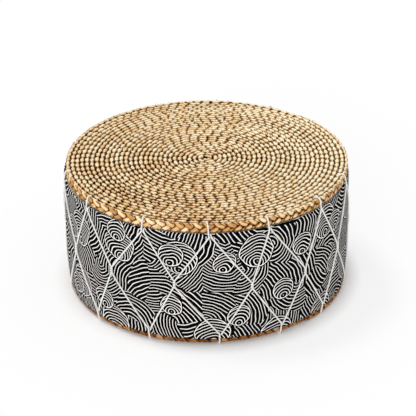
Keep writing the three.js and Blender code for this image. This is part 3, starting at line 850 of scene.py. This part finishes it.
class Shading:
    """The node tree of a material or a world, with short ways to add nodes and join them."""

    def __init__(self, name, owners=bpy.data.materials, shader="Principled BSDF"):
        self.owner = owners.new(name)
        self.owner.use_nodes = True
        self.tree = self.owner.node_tree
        self.shader = self.tree.nodes[shader]

    def add(self, kind, **settings):
        made = self.tree.nodes.new("ShaderNode" + kind)
        for key, value in settings.items():
            setattr(made, key, value)
        return made

    def put(self, socket, value):
        """Joins an output to an input, or sets the input to a value."""
        if isinstance(value, bpy.types.NodeSocket):
            self.tree.links.new(value, socket)
        else:
            socket.default_value = value

    def fed(self, made, *values):
        """A node whose first inputs are given these values."""
        for socket, value in zip(made.inputs, values):
            self.put(socket, value)
        return made

    def keyed(self, made, values):
        """A node whose named inputs are given these values."""
        for key, value in values.items():
            self.put(made.inputs[key], value)
        return made

    def math(self, operation, *values):
        return self.fed(self.add("Math", operation=operation), *values).outputs[0]

    def plus(self, one, other):
        return self.math("ADD", one, other)

    def times(self, one, other):
        return self.math("MULTIPLY", one, other)

    def vector(self, operation, *values):
        return self.fed(self.add("VectorMath", operation=operation), *values).outputs[0]

    def length(self, vector):
        return self.fed(self.add("VectorMath", operation="LENGTH"), vector).outputs["Value"]

    def join(self, x, y, z=0.0):
        """A vector from three values."""
        return self.fed(self.add("CombineXYZ"), x, y, z).outputs[0]

    def parts(self, vector):
        """The x, y and z of a vector, and the vector."""
        return [*self.fed(self.add("SeparateXYZ"), vector).outputs, vector]

    def attribute(self, name):
        """The parts of a stored vector."""
        return self.parts(self.add("Attribute", attribute_name=name).outputs["Vector"])

    def position(self):
        """The parts of the place that is shaded."""
        return self.parts(self.add("NewGeometry").outputs["Position"])

    def noise(self, vector, scale, detail=3.0, roughness=0.5, output="Fac"):
        """Cloudy noise: a value, or a colour."""
        values = {"Vector": vector, "Scale": scale, "Detail": detail, "Roughness": roughness}
        return self.keyed(self.add("TexNoise"), values).outputs[output]

    def ramp(self, factor, stops):
        """A colour ramp through (place, colour) stops."""
        made = self.add("ValToRGB")
        elements = made.color_ramp.elements
        for _ in range(len(stops) - len(elements)):
            elements.new(0.5)
        for element, (place, shade) in zip(elements, stops):
            element.position = place
            element.color = (*shade, 1)
        self.put(made.inputs[0], factor)
        return made.outputs["Color"]

    def mix(self, factor, one, other, blend="MIX"):
        """Two colours mixed. Each is an output or three values."""
        made = self.add("Mix", data_type="RGBA", blend_type=blend)
        self.put(made.inputs["Factor"], factor)
        for key, shade in (("A", one), ("B", other)):
            self.put(made.inputs[key], shade if isinstance(shade, bpy.types.NodeSocket) else (*shade, 1))
        return made.outputs["Result"]

    def spread(self, value, low, high, new_low=0.0, new_high=1.0):
        """A value brought from one range to another, and held inside it."""
        values = {"Value": value, "From Min": low, "From Max": high, "To Min": new_low, "To Max": new_high}
        return self.keyed(self.add("MapRange"), values).outputs["Result"]

    def bump(self, height, distance):
        """Relief too fine for the mesh."""
        made = self.keyed(self.add("Bump"), {"Distance": distance, "Height": height})
        self.put(self.shader.inputs["Normal"], made.outputs["Normal"])

    def finish(self, base, roughness, specular=0.3):
        """Sets the colour and the gloss, and gives the material."""
        values = {"Base Color": base, "Roughness": roughness, "Specular IOR Level": specular}
        self.keyed(self.shader, values)
        return self.owner


def colour(red, green, blue):
    """A colour as it looks on a screen, from 0 to 255, as a shader wants it."""
    parts = [part / 255 for part in (red, green, blue)]
    return tuple(p / 12.92 if p <= 0.04045 else ((p + 0.055) / 1.055) ** 2.4 for p in parts)


def straw(name, colours):
    """Dried leaf: streaks along the strand, a tone for each grain, and paler at the mat's face, partly
    worn pale where it is touched and partly a painted highlight; painted shade in the notches of the
    plait, between the rows and along the strands' edges.
    The mat is painted paler at its right, with lighter painted shade in its gaps, and painted darker at
    its front, with deeper painted shade in its gaps. The leaf that shows on the rim has tones of its own."""
    pale, middle, deep, rust, *rim_tones = (colour(*shade) for shade in colours)
    look = Shading(name)
    along, side, tone, _ = look.attribute("strand")
    painted_shade, rim, paling, _ = look.attribute("place")
    streak_at = look.join(look.times(along, 22.0), look.times(side, 8.5), tone)
    streaks = look.noise(streak_at, 1.0, 4.0, 0.6)
    x, y, _, place = look.position()
    blotches = look.noise(place, 34.0)
    mixed = look.plus(look.times(streaks, 0.6), look.times(blotches, 0.22))
    # Painted light at the right and painted shade at the front
    mixed = look.plus(mixed, look.spread(x, 0.0, MAT_RADIUS, 0.0, RIGHT_PAINTED_LIGHT))
    mixed = look.plus(mixed, look.spread(y, -MAT_RADIUS, 0.0, FRONT_PAINTED_SHADE, 0.0))
    mixed = look.plus(mixed, look.times(tone, 0.1))
    # Painted highlight, partly wear: paler near the mat's outer face
    mixed = look.plus(mixed, look.times(paling, 0.1))
    body = look.ramp(mixed, [(0.24, deep), (0.4, middle), (0.58, pale)])
    rusty = look.spread(tone, 0.72, 0.95)
    body = look.mix(look.times(rusty, 0.3), body, rust)
    vein_at = look.join(look.times(along, 26.0), look.times(side, 2.6), tone)
    veins = look.noise(vein_at, 1.0)
    shown = look.plus(look.times(tone, 0.34), look.times(veins, 0.9))
    rim_body = look.ramp(shown, list(zip((0.2, 0.45, 0.7), rim_tones)))
    body = look.mix(look.times(rim, 0.9), body, rim_body)
    # Painted shade along the strands' edges, strongest on the rim, joined with the painted shade of the
    # notches and gaps
    edge = look.math("POWER", look.math("ABSOLUTE", side), 3.0)
    edge = look.times(edge, look.plus(0.08, look.times(rim, 0.85)))
    gap_shade = look.math("MAXIMUM", painted_shade, edge)
    # Painted shade in the gaps: lighter at the right, deeper at the front
    gap_shade = look.times(gap_shade, look.spread(x, 0.0, MAT_RADIUS, 1.0, RIGHT_GAP_SHADE))
    gap_shade = look.times(gap_shade, look.spread(y, -MAT_RADIUS, 0.0, FRONT_GAP_SHADE, 1.0))
    shadow = look.ramp(gap_shade, [(0.08, (1, 1, 1)), (0.5, SHADE_BROWN), (0.95, SHADE_DARK)])
    body = look.mix(1.0, body, shadow, "MULTIPLY")
    look.bump(streaks, STRAW_RELIEF)
    return look.finish(body, look.spread(streaks, 0.3, 0.7, 0.6, 0.8), 0.1)


def cotton():
    """Soft white cord: fine fibres along each ply, and painted shade, a greyer colour, where the plies
    meet.
    """
    look = Shading("white_cotton")
    along, outward, ply, _ = look.attribute("ply")
    fibre_at = look.join(look.times(along, 900.0), look.times(outward, 6.0), ply)
    fibres = look.noise(fibre_at, 1.0, 3.0, 0.6)
    clean = look.mix(look.spread(fibres, 0.3, 0.7), colour(249, 246, 242), colour(255, 255, 253))
    # Painted shade: greyer on the side of each ply that faces into the cord
    body = look.mix(look.spread(outward, -0.8, 0.0), colour(238, 232, 224), clean)
    look.shader.inputs["Sheen Weight"].default_value = 0.3
    look.bump(fibres, CORD_RELIEF)
    return look.finish(body, 0.85, 0.2)


def stripes(look, distance, pitch, share):
    """Lines at an even pitch across a distance: 1 on a line, 0 between lines."""
    phase = look.math("PINGPONG", look.math("DIVIDE", distance, pitch), 0.5)
    return look.spread(phase, share / 2 - STRIPE_SOFTNESS, share / 2 + STRIPE_SOFTNESS, 1.0, 0.0)


def cells(look, place, cell, offset, randomness):
    """Cells scattered over the cloth: the distance to each one's point, that point, a chance colour
    for each, and the place that they are measured from."""
    made = look.add("TexVoronoi", voronoi_dimensions="2D", feature="F1")
    moved = look.vector("ADD", place, (offset, 0.37 * offset, 0.0))
    look.keyed(made, {"Vector": moved, "Scale": 1 / cell, "Randomness": randomness})
    distance = look.times(made.outputs["Distance"], cell)
    point = look.vector("MULTIPLY", made.outputs["Position"], (1.0, 1.0, 0.0))
    return distance, point, made.outputs["Color"], moved


def arc_patches(look, place):
    """Patches of parallel arcs, each drawn round a point of its own and at a pitch of its own."""
    _, point, chance, moved = cells(look, place, ARC_PATCH, ARC_OFFSET, 1.0)
    aside = look.vector("SUBTRACT", chance, (0.5, 0.5, 0.5))
    aside = look.vector("MULTIPLY", aside, (ARC_REACH, ARC_REACH, 0.0))
    away = look.length(look.vector("SUBTRACT", moved, look.vector("ADD", point, aside)))
    _, _, draw, _ = look.parts(chance)
    return stripes(look, away, look.spread(draw, 0.0, 1.0, *ARC_PITCHES), ARC_SHARE)


def printed_cotton():
    """Black cotton with a cream print: patches of plain arcs, and over them outlined discs, whose
    rings spread from a foot low in the disc."""
    look = Shading("printed_cotton")
    along, up, _, _ = look.attribute("print")
    flat = look.join(along, up)
    wander = look.vector("SUBTRACT", look.noise(flat, 22.0, 2.0, output="Color"), (0.5, 0.5, 0.5))
    wander = look.vector("MULTIPLY", wander, (PRINT_WANDER, PRINT_WANDER, 0.0))
    place = look.vector("ADD", flat, wander)
    ink = arc_patches(look, place)
    for cell, radius, offset in DISCS:
        distance, point, _, moved = cells(look, place, cell, offset, DISC_SCATTER)
        foot = look.vector("ADD", point, (0.0, DISC_FOOT * radius, 0.0))
        from_foot = look.length(look.vector("SUBTRACT", moved, foot))
        rings = stripes(look, from_foot, RING_PITCH, RING_SHARE)
        outline = look.math("GREATER_THAN", distance, radius - DISC_OUTLINE)
        rings = look.math("MAXIMUM", rings, outline)
        inside = look.math("LESS_THAN", distance, radius)
        collar = look.math("LESS_THAN", distance, radius + DISC_COLLAR)
        ink = look.times(ink, look.math("SUBTRACT", 1.0, collar))
        ink = look.plus(ink, look.times(rings, inside))
    paling = look.noise(flat, 120.0, 4.0, 0.7)
    cream = look.mix(look.spread(paling, 0.35, 0.65), colour(244, 239, 235), colour(255, 253, 250))
    black = look.mix(paling, colour(2, 2, 3), colour(9, 8, 11))
    weft, warp = (look.math("SINE", look.times(way, FULL_TURN / THREAD_PITCH)) for way in (along, up))
    look.bump(look.plus(look.times(look.times(weft, warp), 0.5), paling), CLOTH_RELIEF)
    return look.finish(look.mix(ink, black, cream), 0.92, 0.02)


def felt(name, pale, deep, scale):
    """Matted fibre: crossing hairs over soft clumps."""
    look = Shading(name)
    *_, place = look.position()
    hairs = look.noise(look.vector("MULTIPLY", place, (1.0, 1.0, 4.0)), scale * 6.0, 4.0, 0.8)
    clumps = look.noise(place, scale)
    mixed = look.plus(look.times(hairs, 0.6), look.times(clumps, 0.4))
    look.bump(mixed, FELT_RELIEF)
    return look.finish(look.ramp(mixed, [(0.35, deep), (0.62, pale)]), 0.95, 0.1)


def plain_board():
    """Sanded board: long growth lines with a slow drift, and pores."""
    look = Shading("sanded_board")
    _, y, _, place = look.position()
    drift = look.noise(place, 5.0, 2.0)
    rings = look.plus(look.times(y, 130.0), look.times(drift, 9.0))
    growth = look.math("PINGPONG", rings, 0.5)
    pores = look.noise(look.vector("MULTIPLY", place, (12.0, 240.0, 240.0)), 1.0, 4.0, 0.7)
    mixed = look.plus(look.times(growth, 0.8), look.times(pores, 0.4))
    look.bump(pores, BOARD_RELIEF)
    body = look.ramp(mixed, [(0.2, colour(148, 108, 66)), (0.75, colour(206, 168, 118))])
    return look.finish(body, 0.65)


def split_cane():
    """Cane: a satin skin with fine lines along it and darker joints."""
    look = Shading("natural_cane")
    x, _, z, place = look.position()
    lines = look.noise(look.vector("MULTIPLY", place, (260.0, 260.0, 14.0)), 1.0, 4.0, 0.6)
    stains = look.noise(place, 18.0)
    from_joint = look.math("PINGPONG", look.times(look.plus(z, x), 7.0), 0.5)
    joint = look.spread(from_joint, 0.0, 0.03, 1.0, 0.0)
    body = look.ramp(lines, [(0.3, colour(176, 132, 74)), (0.65, colour(222, 184, 122))])
    body = look.mix(look.spread(stains, 0.55, 0.75, 0.0, 0.4), body, colour(150, 96, 48))
    body = look.mix(look.times(joint, 0.6), body, colour(104, 70, 38))
    look.bump(lines, CANE_RELIEF)
    return look.finish(body, 0.42, 0.45)


def make_camera():
    """The photograph's own view, with no shift: the camera is turned a little to place the stool."""
    below, turned, raised, rolled = (math.radians(angle) for angle in CAMERA_ANGLES)
    camera = bpy.data.objects.new("camera", bpy.data.cameras.new("camera"))
    back = CAMERA_DISTANCE * math.cos(below)
    camera.location = (0, -back, CAMERA_TARGET + CAMERA_DISTANCE * math.sin(below))
    aim = Euler((math.pi / 2 - below + raised, 0, -turned)).to_matrix() @ Matrix.Rotation(-rolled, 3, "Z")
    camera.rotation_euler = aim.to_euler()
    camera.data.sensor_width = CAMERA_FILM
    camera.data.lens = CAMERA_LENS
    camera.data.clip_end = CAMERA_REACH
    bpy.context.scene.collection.objects.link(camera)
    bpy.context.scene.camera = camera


def make_floor():
    """A pale floor, whose shadow is seen lighter away from the stool."""
    half = FLOOR_HALF
    points = np.array([[-half, -half, 0], [half, -half, 0], [half, half, 0], [-half, half, 0]])
    floor = mesh_object("floor", points, np.array([[0, 1, 2, 3]]))
    look = Shading("pale_floor")
    grain = look.noise(look.add("NewGeometry").outputs["Position"], 3.0)
    shade = look.mix(grain, (0.955, 0.953, 0.95), (0.965, 0.963, 0.96))
    look.finish(shade, 0.9, 0.0)
    path = look.add("LightPath")
    seen = look.math("MAXIMUM", path.outputs["Is Camera Ray"], path.outputs["Is Glossy Ray"])
    seen = look.math("MAXIMUM", seen, path.outputs["Is Transmission Ray"])
    x, y, _, _ = look.position()
    from_middle = look.math("SQRT", look.plus(look.times(x, x), look.times(y, y)))
    lightened = look.spread(from_middle, GLOW_STARTS, GLOW_FULL, 0.0, FLOOR_GLOW)
    glow = look.add("Emission")
    blend = look.add("MixShader")
    look.fed(blend, look.times(seen, lightened), look.shader.outputs[0], glow.outputs[0])
    look.put(look.tree.nodes["Material Output"].inputs["Surface"], blend.outputs[0])
    floor.data.materials.append(look.owner)


def make_sun(name, energy, spread, towards):
    """A soft lamp, spread over an angle in degrees, from the direction it shines from."""
    sun = bpy.data.lights.new(name, "SUN")
    sun.energy = energy
    sun.angle = math.radians(spread)
    lamp = bpy.data.objects.new(name, sun)
    lamp.rotation_euler = Vector(towards).to_track_quat("Z", "Y").to_euler()
    bpy.context.scene.collection.objects.link(lamp)


def make_light():
    """Two lamps, and a sky that is seen white and lights the stool at a plainer level."""
    for sun in SUNS:
        make_sun(*sun)
    sky = Shading("studio", bpy.data.worlds, "Background")
    bpy.context.scene.world = sky.owner
    path = sky.add("LightPath")
    seen = sky.math("MAXIMUM", path.outputs["Is Camera Ray"], path.outputs["Is Glossy Ray"])
    level = sky.spread(seen, 0.0, 1.0, SKY_LEVEL, 1.0)
    sky.keyed(sky.shader, {"Color": (1, 1, 1, 1), "Strength": level})


make_camera()
make_floor()
make_light()
cord_lines = make_lacing()
make_mats(cord_tree(cord_lines))
make_wadding(*make_cover(cord_lines))
make_pad()
dress_frame()

bpy.context.scene.view_settings.view_transform = "Standard"
